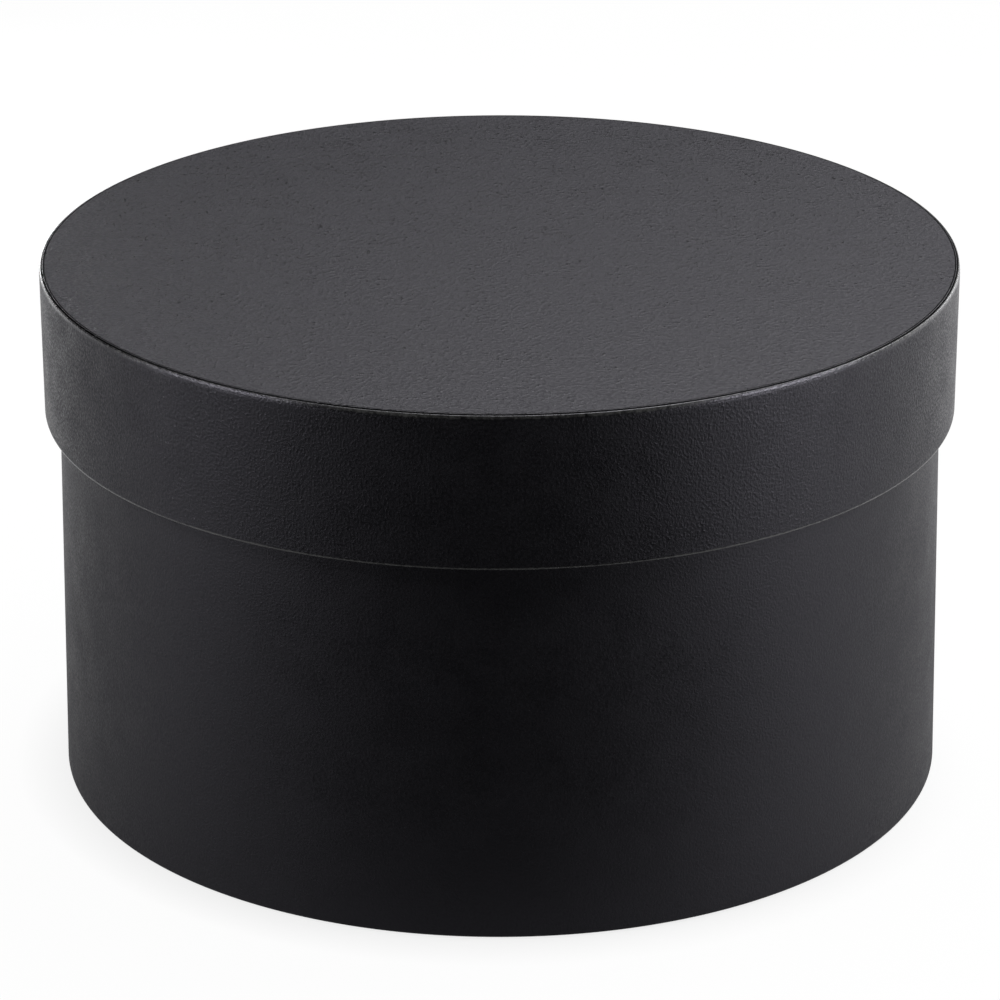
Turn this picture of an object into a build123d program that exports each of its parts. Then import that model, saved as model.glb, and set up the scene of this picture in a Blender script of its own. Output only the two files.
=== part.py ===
from build123d import *
import os
from math import degrees, pi

# A round rigid gift box: a board body and a lift-off lid, both wrapped in paper.
# Millimetres. The box stands on z = 0 with its axis on Z, and its paper joints face +Y.

# Body, over its wrap
foot_diameter = 196.4  # at the floor
body_height = 114.3  # floor to rim
draw_in = 2.05  # of the side's radius over that height, so that the lid slides on

# Lid
lid_height = 33.3  # over the lid, top to foot
lid_clearance = 0.6  # all round, between the lid's lining and the body at the lid's foot

# Board
wall_board = 2.0  # wound tube, body and lid
base_board_thickness = 2.0
lid_board_thickness = 2.0
end_board_clearance = 0.1  # between an end board and the tube that holds it

# Paper and glue
wrap_paper = 0.2
lining_paper = 0.15
glue_film = 0.05  # between a paper and what it is pasted to
fold_ease_share = 1.2  # of the wrap's thickness, taken off the outside of each fold

# Turn-ins of the wraps
mouth_turn_in = 14.0  # down inside the body's mouth
lid_foot_turn_in = 12.0  # up inside the lid
base_turn_under = 12.0  # snipped tabs under the base
lid_turn_over = 12.0  # snipped tabs over the lid's top
tab_pitch = 18.5  # along the fold, from tab to tab
snip_width = 3.0  # of a notch, at the tips of the tabs
snip_margin = 1.5  # from the fold to the point of a notch

# Lap joints of the wraps, where one end of the paper is pasted over the other
lap_width = 10.0

# Covers and linings
lid_cover_margin = 0.7  # from the lid's side to the edge of its top cover
base_cover_margin = 3.0  # from the body's side to the edge of its base cover
mouth_reveal = 3.5  # turned-in wrap left showing above the body's lining
lid_foot_reveal = 3.0  # turned-in wrap left showing below the lid's lining
disc_margin = 0.8  # from a lining band to the disc inside it

# Cutters run past what they cut by this much
overrun = 1.0


def pasted(paper):
    """The depth that one pasted paper takes, with its glue."""
    return paper + glue_film


fold_ease = fold_ease_share * wrap_paper

# Levels of the body, up from the floor
base_tab_level = pasted(wrap_paper)
base_board_level = base_tab_level + pasted(wrap_paper)
base_inside = base_board_level + base_board_thickness
body_floor = base_inside + pasted(lining_paper)
mouth_turned_level = body_height - mouth_turn_in

# Levels of the lid, which rests with its inner disc on the body's rim
lid_board_level = body_height + pasted(lining_paper)
lid_tab_level = lid_board_level + lid_board_thickness + glue_film
lid_cover_level = lid_tab_level + pasted(wrap_paper)
lid_foot = lid_cover_level + wrap_paper - lid_height
lid_turned_level = lid_foot + lid_foot_turn_in


def body_outside(height):
    """The radius over the body's wrap at a height above the floor."""
    return foot_diameter / 2 - draw_in * height / body_height


def tube_outside(height):
    return body_outside(height) - pasted(wrap_paper)


def tube_inside(height):
    return tube_outside(height) - wall_board


def mouth_inside(height):
    """The radius inside the wrap that is turned in at the body's mouth."""
    return tube_inside(height) - pasted(wrap_paper)


# Radii of the lid, outwards from the body that it slides over
lid_inside = body_outside(lid_foot) + lid_clearance
lid_turned_inside = lid_inside + pasted(lining_paper)
band_inside = lid_turned_inside + pasted(wrap_paper)
band_outside = band_inside + wall_board
lid_outside = band_outside + pasted(wrap_paper)


def run(start, end):
    """One run of an outline. A sloping one is a two-point curve, which gives fewer facets than a cone."""
    sloping = start.X != end.X and start.Y != end.Y
    return Bezier(start, end) if sloping else Line(start, end)


def turned(outline, angle=360):
    """A solid turned from a closed outline of (radius, height) points."""
    points = [Vector(*point) for point in outline]
    runs = [run(start, end) for start, end in zip(points, points[1:] + points[:1])]
    return revolve(Plane.XZ * make_face(runs), Axis.Z, angle)


def band(inside, outside, bottom, top):
    """A band between two radii, each worked out from the height."""
    foot = [(inside(bottom), bottom), (outside(bottom), bottom)]
    rim = [(outside(top), top), (inside(top), top)]
    return turned(foot + rim)


def disc(radius, bottom, thickness):
    return Pos(0, 0, bottom) * extrude(Circle(radius), thickness)


def eased(line):
    """A line of (radius, height) points with each fold on it cut off."""
    points = [Vector(*point) for point in line]
    cut = points[:1]
    for before, fold, after in zip(points, points[1:], points[2:]):
        cut += [fold + (near - fold).normalized() * fold_ease for near in (before, after)]
    return cut + points[-1:]


def folded(outer_line, inner_line):
    """A paper skin between two lines of (radius, height) points, eased outside each fold."""
    return turned(eased(outer_line) + inner_line[::-1])


def snips(fold, tip, level):
    """The V notches that let a flange of paper lie flat, from near its fold to its tips."""
    count = round(2 * pi * fold / tab_pitch)
    point = fold - snip_margin
    past = tip - overrun
    reach = snip_width / 2 * (point - past) / (point - tip)
    notch = make_face(Polyline((point, 0), (past, reach), (past, -reach), close=True))
    cutter = Pos(0, 0, level - overrun) * extrude(notch, 2 * overrun)
    return PolarLocations(0, count) * cutter


def lap(outside, bottom, top):
    """The outer end of a wrap, pasted over its inner end on the side that faces +Y."""
    angle = degrees(lap_width / outside(bottom))
    outline = [
        (outside(bottom) - wrap_paper / 2, bottom),
        (outside(bottom) + wrap_paper, bottom),
        (outside(top) + wrap_paper, top),
        (outside(top) - wrap_paper / 2, top),
    ]
    return Rot(0, 0, 90 - angle / 2) * turned(outline, angle)


def body_tube():
    """The wound board wall of the body."""
    return band(tube_inside, tube_outside, base_board_level, body_height - pasted(wrap_paper))


def base_board():
    """The board disc glued inside the foot of the body tube."""
    return disc(tube_inside(base_inside) - end_board_clearance, base_board_level, base_board_thickness)


def body_wrap():
    """The body's outer paper: tabs under the base, up the side, over the rim and down inside."""
    foot, rim = base_tab_level, body_height
    foot_board, rim_board = foot + wrap_paper, rim - wrap_paper
    tip = body_outside(foot) - base_turn_under
    outer_line = [
        (tip, foot),
        (body_outside(foot), foot),
        (body_outside(rim), rim),
        (mouth_inside(rim), rim),
        (mouth_inside(mouth_turned_level), mouth_turned_level),
    ]
    inner_line = [
        (tip, foot_board),
        (body_outside(foot_board) - wrap_paper, foot_board),
        (body_outside(rim_board) - wrap_paper, rim_board),
        (mouth_inside(rim_board) + wrap_paper, rim_board),
        (mouth_inside(mouth_turned_level) + wrap_paper, mouth_turned_level),
    ]
    skin = folded(outer_line, inner_line) - snips(body_outside(foot), tip, foot)
    return skin + lap(body_outside, foot, rim)


def base_cover():
    """The paper disc under the base, which hides the tabs and meets the table."""
    return disc(body_outside(0) - base_cover_margin, 0, wrap_paper)


def body_lining():
    """The band of lining paper inside the body, from below the rim to the base board."""

    def inside(height):
        return mouth_inside(height) - pasted(lining_paper)

    def outside(height):
        return inside(height) + lining_paper

    return band(inside, outside, base_inside + glue_film, body_height - mouth_reveal)


def base_lining():
    """The paper disc on the floor of the box, inside the lining band."""
    radius = mouth_inside(body_floor) - pasted(lining_paper) - disc_margin
    return disc(radius, base_inside + glue_film, lining_paper)


def lid_band():
    """The wound board ring of the lid."""
    foot, top = lid_foot + pasted(wrap_paper), lid_board_level + lid_board_thickness
    return turned([(band_inside, foot), (band_outside, foot), (band_outside, top), (band_inside, top)])


def lid_board():
    """The board disc glued inside the top of the lid's band."""
    return disc(band_inside - end_board_clearance, lid_board_level, lid_board_thickness)


def lid_wrap():
    """The lid's outer paper: tabs over the top, down the side, round the foot and up inside."""
    top, foot = lid_tab_level + wrap_paper, lid_foot
    foot_board = foot + wrap_paper
    tip = lid_outside - lid_turn_over
    outer_line = [
        (tip, top),
        (lid_outside, top),
        (lid_outside, foot),
        (lid_turned_inside, foot),
        (lid_turned_inside, lid_turned_level),
    ]
    inner_line = [
        (tip, lid_tab_level),
        (lid_outside - wrap_paper, lid_tab_level),
        (lid_outside - wrap_paper, foot_board),
        (lid_turned_inside + wrap_paper, foot_board),
        (lid_turned_inside + wrap_paper, lid_turned_level),
    ]
    skin = folded(outer_line, inner_line) - snips(lid_outside, tip, lid_tab_level)
    return skin + lap(lambda height: lid_outside, foot, top)


def lid_cover():
    """The paper disc on top of the lid, cut a little inside its edge, which hides the tabs."""
    return disc(lid_outside - lid_cover_margin, lid_cover_level, wrap_paper)


def lid_lining():
    """The band of lining paper inside the lid, from above its foot to the top board."""
    foot, top = lid_foot + lid_foot_reveal, lid_board_level - glue_film
    outside = lid_inside + lining_paper
    return turned([(lid_inside, foot), (outside, foot), (outside, top), (lid_inside, top)])


def lid_inner_disc():
    """The paper disc inside the lid, within the lining band. It rests on the body's rim."""
    return disc(lid_inside - disc_margin, body_height, lining_paper)


pieces = [
    body_tube,
    base_board,
    body_wrap,
    base_cover,
    body_lining,
    base_lining,
    lid_band,
    lid_board,
    lid_wrap,
    lid_cover,
    lid_lining,
    lid_inner_disc,
]

os.makedirs("parts", exist_ok=True)
for piece in pieces:
    export_step(piece(), f"parts/{piece.__name__}.step")
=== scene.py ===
import math

import bmesh
import bpy
from mathutils import Matrix, Vector


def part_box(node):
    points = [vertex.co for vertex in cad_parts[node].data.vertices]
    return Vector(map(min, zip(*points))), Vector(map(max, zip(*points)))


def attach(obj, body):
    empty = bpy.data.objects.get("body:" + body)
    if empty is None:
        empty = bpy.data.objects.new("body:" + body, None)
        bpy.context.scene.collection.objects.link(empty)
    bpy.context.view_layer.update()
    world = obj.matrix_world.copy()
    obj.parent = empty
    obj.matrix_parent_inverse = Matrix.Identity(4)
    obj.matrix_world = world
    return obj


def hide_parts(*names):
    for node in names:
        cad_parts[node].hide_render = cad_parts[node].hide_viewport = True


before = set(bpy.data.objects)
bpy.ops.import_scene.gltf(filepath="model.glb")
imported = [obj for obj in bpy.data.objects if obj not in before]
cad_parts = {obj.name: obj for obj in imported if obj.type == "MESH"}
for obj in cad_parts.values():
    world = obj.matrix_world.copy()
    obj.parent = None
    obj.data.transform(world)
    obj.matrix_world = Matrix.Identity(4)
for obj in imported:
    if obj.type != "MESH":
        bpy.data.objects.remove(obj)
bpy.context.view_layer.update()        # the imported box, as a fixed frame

mm = 0.001
fullTurn = 2 * math.pi
mergeDistance = 0.001 * mm  # points nearer than this are one point
sharpAngle = math.radians(35)  # an edge that turns by more is shaded sharp

# Papers, as they come off the roll
paper = {
    "wrap": 0.2 * mm,
    "lining": 0.15 * mm,
    "glue": 0.05 * mm,
}

print("box papers: frame loaded")


# A line of (radius, height) points, as vertices and edges on the XZ plane
def drawLine(bm, line, closed=False):
    points = [bm.verts.new((radius, 0, height)) for radius, height in line]
    ends = points[1:] + points[:1] if closed else points[1:]
    for pair in zip(points, ends):
        bm.edges.new(pair)


# Everything in the bmesh goes round the Z axis, drawn out into faces or copied
def turnRound(bm, angle, steps, copies=False):
    bmesh.ops.spin(
        bm,
        geom=bm.verts[:] + bm.edges[:] + bm.faces[:],
        cent=(0, 0, 0),
        axis=(0, 0, 1),
        dvec=(0, 0, 0),
        angle=angle,
        steps=steps,
        use_merge=not copies and angle == fullTurn,
        use_duplicate=copies,
    )


def radiusOf(vert):
    return math.hypot(vert.co.x, vert.co.y)


def isOn(vert, radius, height):
    return abs(radiusOf(vert) - radius) < mergeDistance and abs(vert.co.z - height) < mergeDistance


# The ring of edges at one place in the outline gets a round fold
def roundFold(bm, radius, height, size, segments):
    ring = [edge for edge in bm.edges if all(isOn(vert, radius, height) for vert in edge.verts)]
    bmesh.ops.bevel(
        bm,
        geom=ring,
        offset=size,
        offset_type="OFFSET",
        affect="EDGES",
        segments=segments,
        profile=0.5,
        material=-1,
    )


# A fold's mark ends at this share of its size from its corner, and is full on its rounded crest
foldEnd = 1.15
foldCrest = math.sqrt(2) - 1


# How near each vertex is to the crest of a fold, from 0 to most, for the wear in the materials
def markFolds(bm, folds, most=1):
    layer = bm.verts.layers.float.get("fold") or bm.verts.layers.float.new("fold")
    for vert in bm.verts:
        for radius, height, size in folds:
            away = math.hypot(radiusOf(vert) - radius, vert.co.z - height)
            nearness = (foldEnd - away / size) / (foldEnd - foldCrest)
            vert[layer] = max(vert[layer], most * min(1, max(0, nearness)))


# A snipped wrap: one tab's sector is spun, its flange closes in towards the tip, and copies go round
def snippedWrap(line, tip, point, snipWidth, tabs, stepsPerTab):
    bm = bmesh.new()
    drawLine(bm, line)
    sector = fullTurn / tabs
    turnRound(bm, sector, stepsPerTab)
    level = line[0][1]
    for vert in bm.verts:
        radius = radiusOf(vert)
        if abs(vert.co.z - level) > paper["wrap"] / 2 or radius > point:
            continue
        notch = snipWidth / 2 * (point - radius) / (point - tip)
        angle = math.atan2(vert.co.y, vert.co.x)
        squeeze = 1 - 2 * notch / (radius * sector)
        turned = Matrix.Rotation((sector / 2 - angle) * (1 - squeeze), 3, "Z")
        vert.co = turned @ vert.co
    turnRound(bm, sector * (tabs - 1), tabs - 1, copies=True)
    bmesh.ops.remove_doubles(bm, verts=bm.verts, dist=mergeDistance)
    bmesh.ops.recalc_face_normals(bm, faces=bm.faces)
    return bm


lapEdge = 0.01 * mm  # the cut edge of a lap rises within this width
lapBends = (-1, -0.75, -0.5, -0.25, 0)  # where its other side bends, as shares of its softness
lapCutReach = 0.0001 * mm  # a point nearer a cut than this is on it


# The outer end of a wrap lies over its inner end. One side is a cut edge, the other a soft rise
def lapEnds(bm, radius, width, lift, softness):
    start = math.pi / 2 - width / 2 / radius
    end = start + width / radius
    step = lapEdge / radius
    soft = softness / radius
    columns = [start, start + step] + [end + soft * share for share in lapBends]
    for angle in columns:
        near = [face for face in bm.faces if face.calc_center_median().y > radius / 2]
        around = {vert for face in near for vert in face.verts}
        around |= {edge for face in near for edge in face.edges}
        bmesh.ops.bisect_plane(
            bm,
            geom=near + list(around),
            dist=lapCutReach,
            plane_co=(0, 0, 0),
            plane_no=(-math.sin(angle), math.cos(angle), 0),
        )
    fadeFrom, fadeOver = radius - 5 * lift, 2 * lift  # the layers inside the side stay where they are
    for vert in bm.verts:
        angle = math.atan2(vert.co.y, vert.co.x)
        if not start + step / 2 < angle < end:
            continue
        out = radiusOf(vert)
        rise = min(1, max(0, (end - angle) / soft))
        rise = rise * rise * (3 - 2 * rise)
        onSide = min(1, max(0, (out - fadeFrom) / fadeOver))
        grown = 1 + lift * rise * onSide / out
        vert.co.x *= grown
        vert.co.y *= grown


# A closed turned solid, with its folds rounded: a band, or a disc whose line starts and ends on the axis
def turnedSolid(line, steps, folds=()):
    bm = bmesh.new()
    drawLine(bm, line, closed=line[0][0] > 0)
    turnRound(bm, fullTurn, steps)
    bmesh.ops.remove_doubles(bm, verts=bm.verts, dist=mergeDistance)
    bmesh.ops.dissolve_degenerate(bm, edges=bm.edges, dist=mergeDistance)
    bmesh.ops.recalc_face_normals(bm, faces=bm.faces)
    for radius, height, size, segments in folds:
        roundFold(bm, radius, height, size, segments)
    markFolds(bm, [fold[:3] for fold in folds])
    return bm


# Turns a bmesh into a piece that stands for a CAD node and rides on its body
def finishPiece(bm, name, materials, body, node):
    for face in bm.faces:
        face.smooth = True
    for edge in bm.edges:
        edge.smooth = edge.calc_face_angle(0) < sharpAngle
    mesh = bpy.data.meshes.new(name)
    bm.to_mesh(mesh)
    bm.free()
    piece = bpy.data.objects.new(name, mesh)
    bpy.context.scene.collection.objects.link(piece)
    for material in materials:
        mesh.materials.append(material)
    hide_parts(node)
    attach(piece, body)
    print("made", name, len(mesh.polygons), "faces")
    return piece


# One node, with its settings and with values or links for its inputs
def addNode(tree, kind, inputs=None, **settings):
    made = tree.nodes.new(kind)
    for key, value in settings.items():
        setattr(made, key, value)
    for key, value in (inputs or {}).items():
        if isinstance(value, bpy.types.NodeSocket):
            tree.links.new(value, made.inputs[key])
        else:
            made.inputs[key].default_value = value
    return made


def calculate(tree, operation, *values):
    return addNode(tree, "ShaderNodeMath", dict(enumerate(values)), operation=operation).outputs[0]


def newGroup(name, inputs, outputs):
    tree = bpy.data.node_groups.new(name, "ShaderNodeTree")
    for way, sockets in (("INPUT", inputs), ("OUTPUT", outputs)):
        for label, kind in sockets.items():
            tree.interface.new_socket(name=label, in_out=way, socket_type="NodeSocket" + kind)
    return tree, tree.nodes.new("NodeGroupInput").outputs, tree.nodes.new("NodeGroupOutput").inputs


# Object coordinates unrolled from a round wall: along the paper, up it, and through it
def makeUnrolled():
    tree, given, result = newGroup(
        "unrolled", {"Coordinates": "Vector", "Radius": "Float"}, {"Unrolled": "Vector"}
    )
    split = addNode(tree, "ShaderNodeSeparateXYZ", {0: given["Coordinates"]}).outputs
    # the angle is zero at the front, and its ends meet at the back, under the lap
    angle = calculate(tree, "ARCTAN2", split["X"], calculate(tree, "MULTIPLY", split["Y"], -1.0))
    along = calculate(tree, "MULTIPLY", angle, given["Radius"])
    squares = [calculate(tree, "MULTIPLY", split[axis], split[axis]) for axis in ("X", "Y")]
    through = calculate(tree, "SQRT", calculate(tree, "ADD", *squares))
    joined = addNode(tree, "ShaderNodeCombineXYZ", {"X": along, "Y": split["Z"], "Z": through})
    tree.links.new(joined.outputs[0], result["Unrolled"])
    return tree


grainMix = {
    "fineDetail": 3.0,
    "fineRoughness": 0.55,
    "fineShare": 0.7,  # of the grain's height. The fibres have the rest
    "fibreDetail": 4.0,
    "fibreBend": 0.4,
    "fibreShare": 0.6,  # of the tone. The clouds have the rest
    "cloudDetail": 5.0,
    "cloudRoughness": 0.6,
}


# Two values, the first with this share and the second with the rest
def blend(tree, first, second, share):
    parts = [calculate(tree, "MULTIPLY", first, share), calculate(tree, "MULTIPLY", second, 1 - share)]
    return calculate(tree, "ADD", *parts)


# Paper: fine grain, long fibres and slow clouds
def makePaperGrain(mix):
    tree, given, result = newGroup(
        "paperGrain",
        {
            "Coordinates": "Vector",
            "Fibre Direction": "Vector",
            "Grain Scale": "Float",
            "Cloud Scale": "Float",
        },
        {"Height": "Float", "Tone": "Float", "Cloud": "Float"},
    )
    fine = addNode(
        tree,
        "ShaderNodeTexNoise",
        {
            "Vector": given["Coordinates"],
            "Scale": given["Grain Scale"],
            "Detail": mix["fineDetail"],
            "Roughness": mix["fineRoughness"],
        },
    ).outputs["Fac"]
    stretched = addNode(
        tree,
        "ShaderNodeVectorMath",
        {0: given["Coordinates"], 1: given["Fibre Direction"]},
        operation="MULTIPLY",
    ).outputs[0]
    fibres = addNode(
        tree,
        "ShaderNodeTexNoise",
        {"Vector": stretched, "Scale": 1.0, "Detail": mix["fibreDetail"], "Distortion": mix["fibreBend"]},
    ).outputs["Fac"]
    clouds = addNode(
        tree,
        "ShaderNodeTexNoise",
        {
            "Vector": given["Coordinates"],
            "Scale": given["Cloud Scale"],
            "Detail": mix["cloudDetail"],
            "Roughness": mix["cloudRoughness"],
        },
    ).outputs["Fac"]
    tree.links.new(blend(tree, fine, fibres, mix["fineShare"]), result["Height"])
    tree.links.new(blend(tree, fibres, clouds, mix["fibreShare"]), result["Tone"])
    tree.links.new(clouds, result["Cloud"])
    return tree


wearMix = {
    "speckDetail": 3.0,
    "speckRoughness": 0.7,
    "speckPart": 0.7,
    "slowPart": 0.5,
    "slowScale": 0.04,  # beside that of the specks
    "startsAt": 0.75,
    "fullAt": 1.15,
    "leastFold": 0.01,  # no wear where the fold's mark is under this
}


# Wear on the crest of a fold, broken into specks where it thins out
def makeFoldWear(mix):
    tree, given, result = newGroup(
        "foldWear",
        {"Coordinates": "Vector", "Fold": "Float", "Amount": "Float", "Speck Scale": "Float"},
        {"Mask": "Float"},
    )
    specks = addNode(
        tree,
        "ShaderNodeTexNoise",
        {
            "Vector": given["Coordinates"],
            "Scale": given["Speck Scale"],
            "Detail": mix["speckDetail"],
            "Roughness": mix["speckRoughness"],
        },
    ).outputs["Fac"]
    slowScale = calculate(tree, "MULTIPLY", given["Speck Scale"], mix["slowScale"])
    slow = addNode(
        tree, "ShaderNodeTexNoise", {"Vector": given["Coordinates"], "Scale": slowScale}
    ).outputs["Fac"]
    speckPart = calculate(tree, "MULTIPLY", specks, mix["speckPart"])
    broken = calculate(tree, "ADD", speckPart, calculate(tree, "MULTIPLY", slow, mix["slowPart"]))
    reached = calculate(tree, "ADD", calculate(tree, "MULTIPLY", given["Fold"], given["Amount"]), broken)
    mask = addNode(
        tree,
        "ShaderNodeMapRange",
        {"Value": reached, "From Min": mix["startsAt"], "From Max": mix["fullAt"]},
        interpolation_type="SMOOTHSTEP",
    ).outputs[0]
    onFold = calculate(tree, "GREATER_THAN", given["Fold"], mix["leastFold"])
    tree.links.new(calculate(tree, "MULTIPLY", mask, onFold), result["Mask"])
    return tree


groups = {
    "unrolled": makeUnrolled(),
    "paperGrain": makePaperGrain(grainMix),
    "foldWear": makeFoldWear(wearMix),
}


def useGroup(tree, name, inputs):
    return addNode(tree, "ShaderNodeGroup", inputs, node_tree=groups[name]).outputs


# Nearly all of a noise lies between these
noiseLow = 0.3
noiseMiddle = 0.5
noiseHigh = 0.7


# A noise, turned into a value that lies this far above and below the middle one
def varied(tree, noise, middle, change):
    inputs = {
        "Value": noise,
        "From Min": noiseLow,
        "From Max": noiseHigh,
        "To Min": middle - change,
        "To Max": middle + change,
    }
    return addNode(tree, "ShaderNodeMapRange", inputs).outputs[0]


# A pasted paper. Its look comes from one dictionary
def makePaper(name, look):
    material = bpy.data.materials.new(name)
    material.use_nodes = True
    tree = material.node_tree
    shader = tree.nodes["Principled BSDF"]
    coordinates = addNode(tree, "ShaderNodeTexCoord").outputs["Object"]
    if look["radius"]:
        unrolled = useGroup(tree, "unrolled", {"Coordinates": coordinates, "Radius": look["radius"]})
        coordinates = unrolled["Unrolled"]
    grain = useGroup(
        tree,
        "paperGrain",
        {
            "Coordinates": coordinates,
            "Fibre Direction": look["fibres"],
            "Grain Scale": look["grainScale"],
            "Cloud Scale": look["cloudScale"],
        },
    )
    tone = varied(tree, grain["Tone"], 1, look["toneChange"])
    base = addNode(
        tree, "ShaderNodeVectorMath", {0: look["colour"], "Scale": tone}, operation="SCALE"
    ).outputs[0]
    fold = addNode(tree, "ShaderNodeAttribute", attribute_name="fold").outputs["Fac"]
    wear = useGroup(
        tree,
        "foldWear",
        {"Coordinates": coordinates, "Fold": fold, "Amount": look["wear"], "Speck Scale": look["speckScale"]},
    )
    colour = addNode(
        tree,
        "ShaderNodeMix",
        {"Factor": wear["Mask"], "A": base, "B": (*look["wornColour"], 1)},
        data_type="RGBA",
    )
    tree.links.new(colour.outputs["Result"], shader.inputs["Base Color"])
    roughness = varied(tree, grain["Cloud"], look["roughness"], look["roughnessChange"])
    # the high places of the grain are smoother than the low ones
    above = calculate(tree, "SUBTRACT", grain["Height"], noiseMiddle)
    grained = calculate(tree, "SUBTRACT", roughness, calculate(tree, "MULTIPLY", above, look["grainPolish"]))
    rubbed = addNode(
        tree,
        "ShaderNodeMix",
        {"Factor": fold, "A": grained, "B": look["foldRoughness"]},
        data_type="FLOAT",
    ).outputs["Result"]
    tree.links.new(rubbed, shader.inputs["Roughness"])
    # rubbed folds are smooth as well as shiny
    standing = calculate(tree, "SUBTRACT", 1.0, calculate(tree, "MULTIPLY", fold, look["foldFlatness"]))
    bump = addNode(
        tree,
        "ShaderNodeBump",
        {"Height": grain["Height"], "Strength": standing, "Distance": look["grainDepth"]},
    )
    tree.links.new(bump.outputs[0], shader.inputs["Normal"])
    shader.inputs["Specular IOR Level"].default_value = look["shine"]
    shader.inputs["Specular Tint"].default_value = (*look["shineColour"], 1)
    return material


blackPaper = {
    "colour": (0.0078, 0.0077, 0.0088),
    "toneChange": 0.22,
    "roughness": 0.5,
    "roughnessChange": 0.08,
    "foldRoughness": 0.13,
    "foldFlatness": 0.9,
    "shine": 0.5,
    "grainPolish": 1.3,
    "shineColour": (0.88, 0.85, 1.0),
    "grainScale": 1900.0,
    "cloudScale": 110.0,
    "grainDepth": 0.14 * mm,
    "fibres": (900.0, 2300.0, 2300.0),
    "wear": 0.5,
    "wornColour": (0.12, 0.12, 0.118),
    "speckScale": 900.0,
    "radius": 0.0,
}
lidSidePaper = makePaper(
    "lidSidePaper",
    {
        **blackPaper,
        "radius": 100 * mm,
        "fibres": (2300.0, 900.0, 900.0),
        "grainScale": 1700.0,
        "grainDepth": 0.22 * mm,
    },
)
bodySidePaper = makePaper(
    "bodySidePaper",
    {
        **blackPaper,
        "radius": 97 * mm,
        "fibres": (2300.0, 900.0, 900.0),
        "grainDepth": 0.13 * mm,
        "grainPolish": 0.8,
        "roughnessChange": 0.055,
    },
)
coverPaper = makePaper(
    "coverPaper",
    {**blackPaper, "grainScale": 1000.0, "grainDepth": 0.42 * mm, "grainPolish": 1.8, "wear": 0.1},
)
liningPaper = makePaper("liningPaper", {**blackPaper, "radius": 95 * mm, "roughness": 0.6, "wear": 0.2})
discPaper = makePaper("discPaper", {**blackPaper, "roughness": 0.6, "wear": 0.2})
# Painted shade with dark glue: near black, rough and mirroring nothing, so the crease beside the cover and
# the cover's cut edge look always in shadow
glueAndShadePaper = makePaper(
    "glueAndShadePaper",
    {
        **blackPaper,
        "colour": (0.002, 0.002, 0.002),
        "roughness": 0.97,
        "foldRoughness": 1.0,
        "shine": 0.0,
        "wear": 0.0,
    },
)
greyBoard = makePaper(
    "greyBoard",
    {
        **blackPaper,
        "colour": (0.24, 0.225, 0.2),
        "wornColour": (0.3, 0.28, 0.25),
        "roughness": 0.85,
        "grainScale": 900.0,
        "cloudScale": 150.0,
        "grainDepth": 0.05 * mm,
    },
)
print("made the papers and the board")

lidWrap = {
    "tabs": 34,
    "stepsPerTab": 8,
    "turnOver": 12 * mm,  # snipped tabs on the top board
    "turnIn": 12 * mm,  # up inside the foot
    "snipMargin": 1.5 * mm,
    "snipWidth": 3 * mm,
    "ridgeWidth": 0.46 * mm,  # the fold stands level with the tabs, outside the cover
    "ridgeRise": 0.02 * mm,
    "ridgeFold": 0.03 * mm,
    "ridgeSlope": 0.08 * mm,
    "ridgeSegments": 2,
    "creaseWidth": 0.45 * mm,  # pressed in beside the cover, and a little under its edge
    "creaseDepth": 0.13 * mm,
    "edgeTop": 0.24 * mm,  # the lid's edge turns over this, then slopes out and down to the side
    "edgeTurns": 7,
    "edgeSlopeIn": 0.14 * mm,
    "edgeSlopeDown": 1.05 * mm,
    "edgeBulge": 1.4,
    "edgeSteps": 8,
    "edgeLine": 0.6,  # where a fine line is pressed in the slope, as a share of it
    "edgeLineDepth": 0.03 * mm,
    "edgeWear": 0.7,  # beside that of the foot
    "footFold": 0.6 * mm,
    "footWearUp": 0.5,  # the foot is rubbed above its fold, as a share of the fold
    "footWearSize": 0.7,  # and over this share of it
    "foldSegments": 5,
    "support": 0.15 * mm,
    "lapWidth": 10 * mm,
    "lapRise": 0.18 * mm,
    "lapSoftness": 1.6 * mm,
}


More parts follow.
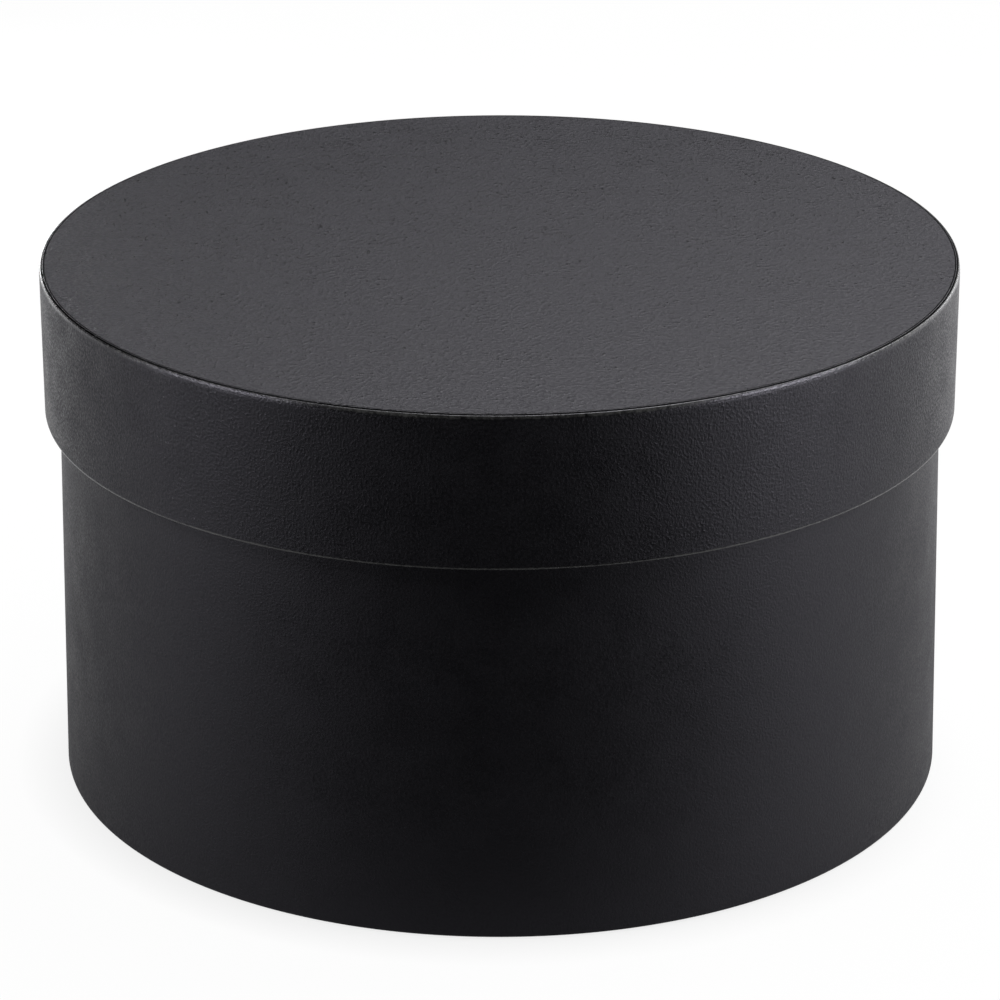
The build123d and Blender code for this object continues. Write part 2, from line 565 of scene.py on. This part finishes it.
def makeLidWrap(size):
    low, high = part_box("lid_wrap")
    outer, foot, top = high.x, low.z, high.z
    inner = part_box("lid_lining")[1].x + paper["glue"]
    fold, near = size["footFold"], size["footFold"] + size["support"]
    tip, point = outer - size["turnOver"], outer - size["snipMargin"]
    ridge = outer - size["ridgeWidth"]
    crest = top + size["ridgeRise"]
    bottom = top - size["creaseDepth"]
    creaseOut = ridge - size["ridgeSlope"]
    creaseIn = creaseOut - size["creaseWidth"]
    line = [
        (tip, top),
        (point, top),
        (creaseIn - size["ridgeSlope"], top),
        (creaseIn, bottom),
        (creaseOut, bottom),
        (ridge, crest),
    ]
    slopeIn, slopeDown, corner = size["edgeSlopeIn"], size["edgeSlopeDown"], size["edgeTop"]
    for step in range(size["edgeTurns"]):
        turn = math.pi / 2 * step / size["edgeTurns"]
        radius = outer - slopeIn - corner * (1 - math.sin(turn))
        line.append((radius, crest - corner * (1 - math.cos(turn))))
    for step in range(size["edgeSteps"] + 1):
        share = step / size["edgeSteps"]
        besideLine = abs(share - size["edgeLine"]) * size["edgeSteps"]
        pressed = max(0, 1 - besideLine) * size["edgeLineDepth"]
        radius = outer - slopeIn * (1 - share) ** size["edgeBulge"] - pressed
        line.append((radius, crest - corner - slopeDown * share))
    line += [
        (outer, crest - 2 * slopeDown),
        (outer, (foot + crest) / 2),
        (outer, foot + near),
        (outer, foot),
        (outer - near, foot),
        (inner + near, foot),
        (inner, foot),
        (inner, foot + near),
        (inner, foot + size["turnIn"]),
    ]
    bm = snippedWrap(line, tip, point, size["snipWidth"], size["tabs"], size["stepsPerTab"])
    folds = [(outer, foot, fold), (inner, foot, fold)]
    for radius, height, reach in folds:
        roundFold(bm, radius, height, reach, size["foldSegments"])
    roundFold(bm, ridge, crest, size["ridgeFold"], size["ridgeSegments"])
    bmesh.ops.solidify(bm, geom=bm.faces[:], thickness=paper["wrap"])
    lapEnds(bm, outer, size["lapWidth"], size["lapRise"], size["lapSoftness"])
    worn = (outer, foot + fold * size["footWearUp"], fold * size["footWearSize"])
    markFolds(bm, [worn, (inner, foot, fold)])
    markFolds(bm, [(outer, crest, slopeDown)], size["edgeWear"])
    # the crease faces get the paper with painted shade and dark glue
    for face in bm.faces:
        middle = face.calc_center_median()
        across = math.hypot(middle.x, middle.y)
        if middle.z > bottom - paper["wrap"] / 4 and creaseIn < across < ridge - size["ridgeSlope"] / 2:
            face.material_index = 1
    return finishPiece(bm, "lid_outer_paper", [lidSidePaper, glueAndShadePaper], "lid", "lid_wrap")


makeLidWrap(lidWrap)

discs = {
    "steps": 272,
    "middleRing": 0.5,  # of the radius
    "support": 1 * mm,
    "edgeFold": 0.06 * mm,
    "edgeSegments": 3,
    "underSegments": 2,
    "edgeSlope": 0.3 * mm,  # the edge is rubbed down over this width
    "slopeFold": 0.21 * mm,
    "slopeSegments": 4,
    "edgeDrop": 0.02 * mm,
    "uprightBelow": 0.4,  # a face is the disc's cut edge where its normal rises less than this
    "wider": 0.0,  # than the source's own disc
}


def makeDisc(name, node, materials, body, size):
    low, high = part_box(node)
    radius = high.x + size["wider"]
    slope, edge = radius - size["edgeSlope"], high.z - size["edgeDrop"]
    line = [
        (0, high.z),
        (radius * size["middleRing"], high.z),
        (radius - size["support"], high.z),
        (slope, high.z),
        (radius, edge),
        (radius, low.z),
        (radius - size["support"], low.z),
        (radius * size["middleRing"], low.z),
        (0, low.z),
    ]
    folds = [
        (slope, high.z, size["slopeFold"], size["slopeSegments"]),
        (radius, edge, size["edgeFold"], size["edgeSegments"]),
        (radius, low.z, size["edgeFold"], size["underSegments"]),
    ]
    bm = turnedSolid(line, size["steps"], folds)
    # upright faces, the cut edge, get the last material: on the cover that is the paper with painted shade
    # and dark glue
    for face in bm.faces:
        upright = abs(face.normal.z) < size["uprightBelow"]
        face.material_index = len(materials) - 1 if upright else 0
    return finishPiece(bm, name, materials, body, node)


coverDisc = {**discs, "edgeFold": 0.03 * mm}
makeDisc("lid_top_paper", "lid_cover", [coverPaper, glueAndShadePaper], "lid", coverDisc)

bodyWrap = {
    "tabs": 33,
    "stepsPerTab": 8,
    "footRadius": 98.2 * mm,  # at the floor
    "drawIn": 2.05 * mm,  # of the radius, from the floor to the rim
    "wall": 2 * mm,
    "turnUnder": 12 * mm,
    "turnIn": 14 * mm,
    "snipMargin": 1.5 * mm,
    "snipWidth": 3 * mm,
    "fold": 0.45 * mm,
    "foldSegments": 5,
    "support": 0.15 * mm,
    "lapWidth": 10 * mm,
    "lapRise": 0.18 * mm,
    "lapSoftness": 1.6 * mm,
}
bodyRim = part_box("body_wrap")[1].z


def bodyRadius(height):
    return bodyWrap["footRadius"] - bodyWrap["drawIn"] * height / bodyRim


# Inside the wrap that is turned in at the mouth
def mouthRadius(height):
    return bodyRadius(height) - bodyWrap["wall"] - 2 * (paper["wrap"] + paper["glue"])


def makeBodyWrap(size):
    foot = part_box("body_wrap")[0].z
    rim = bodyRim
    outer = bodyRadius(foot)
    tip, point = outer - size["turnUnder"], outer - size["snipMargin"]
    near = size["fold"] + size["support"]
    rimOut, rimIn = bodyRadius(rim), mouthRadius(rim)
    line = [(tip, foot), (point, foot), (outer - near, foot), (outer, foot)]
    up = (foot + near, rim / 4, rim / 2, rim * 3 / 4, rim - near, rim)
    line += [(bodyRadius(height), height) for height in up]
    line += [(rimOut - near, rim), (rimIn + near, rim)]
    line += [(mouthRadius(height), height) for height in (rim, rim - near, rim - size["turnIn"])]
    bm = snippedWrap(line, tip, point, size["snipWidth"], size["tabs"], size["stepsPerTab"])
    folds = [(outer, foot, size["fold"]), (rimOut, rim, size["fold"]), (rimIn, rim, size["fold"])]
    for radius, height, reach in folds:
        roundFold(bm, radius, height, reach, size["foldSegments"])
    bmesh.ops.solidify(bm, geom=bm.faces[:], thickness=paper["wrap"])
    lapEnds(bm, outer, size["lapWidth"], size["lapRise"], size["lapSoftness"])
    markFolds(bm, folds)
    return finishPiece(bm, "body_outer_paper", [bodySidePaper], "box", "body_wrap")


makeBodyWrap(bodyWrap)
makeDisc("base_paper", "base_cover", [discPaper], "box", discs)
floorDisc = {**discs, "wider": 0.65 * mm}
makeDisc("floor_lining_paper", "base_lining", [discPaper], "box", floorDisc)
insideDisc = {**discs, "wider": 0.6 * mm}
makeDisc("lid_inside_paper", "lid_inner_disc", [discPaper], "lid", insideDisc)

linings = {
    "steps": 264,
    "stepHeight": 1.4 * mm,
    "edgeFold": 0.05 * mm,
    "edgeSegments": 2,
    "bend": 0.5 * mm,
    "bendSegments": 3,
}


# A lining band: over the turned-in wrap it stands in by the wrap's thickness
def makeLining(name, node, body, insideAt, outsideAt, bottom, top, stepAt, size):
    heights = [bottom, stepAt - size["stepHeight"] / 2, stepAt + size["stepHeight"] / 2, top]
    line = [(insideAt(height), height) for height in heights]
    line += [(outsideAt(height), height) for height in reversed(heights)]
    folds = [(insideAt(height), height, size["edgeFold"], size["edgeSegments"]) for height in (bottom, top)]
    bm = turnedSolid(line, size["steps"], folds)
    for height in heights[1:3]:
        roundFold(bm, insideAt(height), height, size["bend"], size["bendSegments"])
    return finishPiece(bm, name, [liningPaper], body, node)


def bodyLiningInside(height):
    turnedIn = bodyRim - bodyWrap["turnIn"]
    onBoard = height < turnedIn
    stand = paper["glue"] + paper["lining"] - (paper["wrap"] if onBoard else 0)
    return mouthRadius(height) - stand


low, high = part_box("body_lining")
makeLining(
    "body_lining_paper",
    "body_lining",
    "box",
    bodyLiningInside,
    lambda height: bodyLiningInside(height) + paper["lining"],
    low.z,
    high.z,
    bodyRim - bodyWrap["turnIn"],
    linings,
)

low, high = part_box("lid_lining")
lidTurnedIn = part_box("lid_wrap")[0].z + lidWrap["turnIn"]


def lidLiningInside(height):
    onBoard = height > lidTurnedIn
    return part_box("lid_lining")[1].x - paper["lining"] + (paper["wrap"] if onBoard else 0)


makeLining(
    "lid_lining_paper",
    "lid_lining",
    "lid",
    lidLiningInside,
    lambda height: lidLiningInside(height) + paper["lining"],
    low.z,
    high.z,
    lidTurnedIn,
    linings,
)

for node in ("body_tube", "base_board", "lid_band", "lid_board"):
    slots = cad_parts[node].data.materials
    slots.clear()
    slots.append(greyBoard)
print("made the box")

studio = {
    "floorSize": 6.0,
    "floorDrop": 0.02 * mm,
    "floorColour": (0.86, 0.86, 0.86),
    "nearWhite": 0.8,  # share of plain white in what the camera sees of the floor, beside the box
    "farWhite": 0.965,  # and away from it
    "nearRadius": 98 * mm,
    "farRadius": 110 * mm,
    "mirroredShare": 0.72,  # share of plain grey in what the paper mirrors of it
    "mirroredGrey": 0.3,
    "behindGrey": 1.0,  # the same grey, behind the box
    "behindFrom": 0.06,
    "behindTo": 0.24,
    "darkFloor": (0.04, 0.04, 0.04),  # the floor is dark in front, out of the picture: painted shade, dark for all rays but the camera's, so the box's front gets and mirrors little light
    "darkFrom": -0.16,
    "darkTo": -0.02,
    "room": 0.012,  # how white the room is, for all but the camera
}

# Soft lamps round the box. Turn and rise are in degrees, and the turn is to the right from straight behind it
lamps = {
    "overhead": {"turn": 40, "rise": 66, "away": 0.9, "wide": 0.6, "tall": 0.6, "power": 4.6},
    "behindHigh": {"turn": 0, "rise": 50, "away": 0.8, "wide": 0.4, "tall": 0.3, "power": 1.25},
    "behindRight": {"turn": 38, "rise": 28, "away": 0.8, "wide": 0.4, "tall": 0.3, "power": 0.93},
    "besideLeft": {"turn": -115, "rise": 5, "away": 0.45, "wide": 0.28, "tall": 0.05, "power": 0.36},
    "besideRight": {"turn": 115, "rise": 5, "away": 0.45, "wide": 0.28, "tall": 0.05, "power": 0.6},
    "stripLeft": {"turn": -105, "rise": 40, "away": 0.8, "wide": 0.5, "tall": 0.06, "power": 2.3},
    "stripRight": {"turn": 85, "rise": 35, "away": 0.8, "wide": 0.6, "tall": 0.06, "power": 3.2},
    "rearLeft": {"turn": -50, "rise": 6, "away": 0.6, "wide": 0.2, "tall": 0.14, "power": 0.08},
    "rearRight": {"turn": 50, "rise": 6, "away": 0.6, "wide": 0.2, "tall": 0.14, "power": 0.6},
    "behindLeft": {"turn": -30, "rise": 6, "away": 0.6, "wide": 0.2, "tall": 0.14, "power": 1.0},
}


def makeStudio(size):
    scene = bpy.context.scene
    bm = bmesh.new()
    bmesh.ops.create_grid(bm, x_segments=1, y_segments=1, size=size["floorSize"] / 2)
    bmesh.ops.translate(bm, verts=bm.verts, vec=(0, 0, -size["floorDrop"]))
    mesh = bpy.data.meshes.new("studio_floor")
    bm.to_mesh(mesh)
    bm.free()
    floor = bpy.data.objects.new("studio_floor", mesh)
    scene.collection.objects.link(floor)
    material = bpy.data.materials.new("studioFloor")
    material.use_nodes = True
    tree = material.node_tree
    tree.nodes.clear()
    rays = addNode(tree, "ShaderNodeLightPath").outputs
    place = addNode(tree, "ShaderNodeTexCoord").outputs["Object"]
    forward = addNode(tree, "ShaderNodeSeparateXYZ", {0: place}).outputs["Y"]
    # painted shade: in front of the box the floor is dark for all rays but the camera's, which sees it pale
    lit = addNode(
        tree,
        "ShaderNodeMapRange",
        {"Value": forward, "From Min": size["darkFrom"], "From Max": size["darkTo"]},
        interpolation_type="SMOOTHSTEP",
    ).outputs[0]
    shown = calculate(tree, "MAXIMUM", rays["Is Camera Ray"], lit)
    mirrored = calculate(
        tree, "MULTIPLY", lit, calculate(tree, "MAXIMUM", rays["Is Glossy Ray"], rays["Is Transmission Ray"])
    )
    colour = addNode(
        tree,
        "ShaderNodeMix",
        {"Factor": shown, "A": (*size["darkFloor"], 1), "B": (*size["floorColour"], 1)},
        data_type="RGBA",
    ).outputs["Result"]
    diffuse = addNode(tree, "ShaderNodeBsdfDiffuse", {"Color": colour}).outputs[0]
    grey = addNode(
        tree,
        "ShaderNodeMapRange",
        {
            "Value": forward,
            "From Min": size["behindFrom"],
            "From Max": size["behindTo"],
            "To Min": size["mirroredGrey"],
            "To Max": size["behindGrey"],
        },
        interpolation_type="SMOOTHSTEP",
    ).outputs[0]
    whiteness = addNode(
        tree,
        "ShaderNodeMix",
        {"Factor": rays["Is Camera Ray"], "A": grey, "B": 1.0},
        data_type="FLOAT",
    ).outputs["Result"]
    white = addNode(tree, "ShaderNodeEmission", {"Color": (1, 1, 1, 1), "Strength": whiteness}).outputs[0]
    away = addNode(tree, "ShaderNodeVectorMath", {0: place}, operation="LENGTH").outputs["Value"]
    shownWhite = addNode(
        tree,
        "ShaderNodeMapRange",
        {
            "Value": away,
            "From Min": size["nearRadius"],
            "From Max": size["farRadius"],
            "To Min": size["nearWhite"],
            "To Max": size["farWhite"],
        },
    ).outputs[0]
    share = calculate(
        tree,
        "ADD",
        calculate(tree, "MULTIPLY", rays["Is Camera Ray"], shownWhite),
        calculate(tree, "MULTIPLY", mirrored, size["mirroredShare"]),
    )
    surface = addNode(tree, "ShaderNodeMixShader", {0: share, 1: diffuse, 2: white}).outputs[0]
    under = calculate(
        tree, "MULTIPLY", addNode(tree, "ShaderNodeNewGeometry").outputs["Backfacing"], rays["Is Camera Ray"]
    )
    clear = addNode(tree, "ShaderNodeBsdfTransparent").outputs[0]
    seen = addNode(tree, "ShaderNodeMixShader", {0: under, 1: surface, 2: clear}).outputs[0]
    addNode(tree, "ShaderNodeOutputMaterial", {"Surface": seen})
    mesh.materials.append(material)

    world = bpy.data.worlds.new("studioRoom")
    scene.world = world
    world.use_nodes = True
    tree = world.node_tree
    tree.nodes.clear()
    rays = addNode(tree, "ShaderNodeLightPath").outputs
    strength = addNode(
        tree,
        "ShaderNodeMix",
        {"Factor": rays["Is Camera Ray"], "A": size["room"], "B": 1.0},
        data_type="FLOAT",
    ).outputs["Result"]
    background = addNode(tree, "ShaderNodeBackground", {"Color": (1, 1, 1, 1), "Strength": strength})
    addNode(tree, "ShaderNodeOutputWorld", {"Surface": background.outputs[0]})


lampCentre = Vector((0, 0, 60 * mm))  # the lamps stand round this point


def makeLamp(name, lamp):
    data = bpy.data.lights.new(name, "AREA")
    data.shape = "RECTANGLE"
    data.size, data.size_y = lamp["wide"], lamp["tall"]
    data.energy = lamp["power"]
    turn, rise = math.radians(lamp["turn"]), math.radians(lamp["rise"])
    way = Vector((math.sin(turn) * math.cos(rise), math.cos(turn) * math.cos(rise), math.sin(rise)))
    placed = bpy.data.objects.new(name, data)
    placed.location = lampCentre + way * lamp["away"]
    placed.rotation_euler = way.to_track_quat("Z", "Y").to_euler()
    placed.visible_camera = False
    bpy.context.scene.collection.objects.link(placed)


makeStudio(studio)
for name, lamp in lamps.items():
    makeLamp(name, lamp)

# The lens and the place of the camera, fitted to the rims and sides of the box. The angles are in degrees
shot = {
    "lens": 155.2,
    "sensor": 36.0,
    "aim": (0, 0, 58.1 * mm),
    "distance": 962.4 * mm,
    "pitch": 22.264,
    "turn": 0.011,
    "roll": -0.117,
}


def makeCamera(size):
    data = bpy.data.cameras.new("camera")
    data.lens = size["lens"]
    data.sensor_width = size["sensor"]
    camera = bpy.data.objects.new("camera", data)
    bpy.context.scene.collection.objects.link(camera)
    heading = Matrix.Rotation(math.radians(size["turn"]), 4, "Z")
    tilt = Matrix.Rotation(math.radians(90 - size["pitch"]), 4, "X")
    roll = Matrix.Rotation(math.radians(size["roll"]), 4, "Z")
    back = Matrix.Translation((0, 0, size["distance"]))
    camera.matrix_world = Matrix.Translation(size["aim"]) @ heading @ tilt @ back @ roll
    bpy.context.scene.camera = camera


makeCamera(shot)
bpy.context.scene.view_settings.view_transform = "Standard"
print("set the studio and the camera")
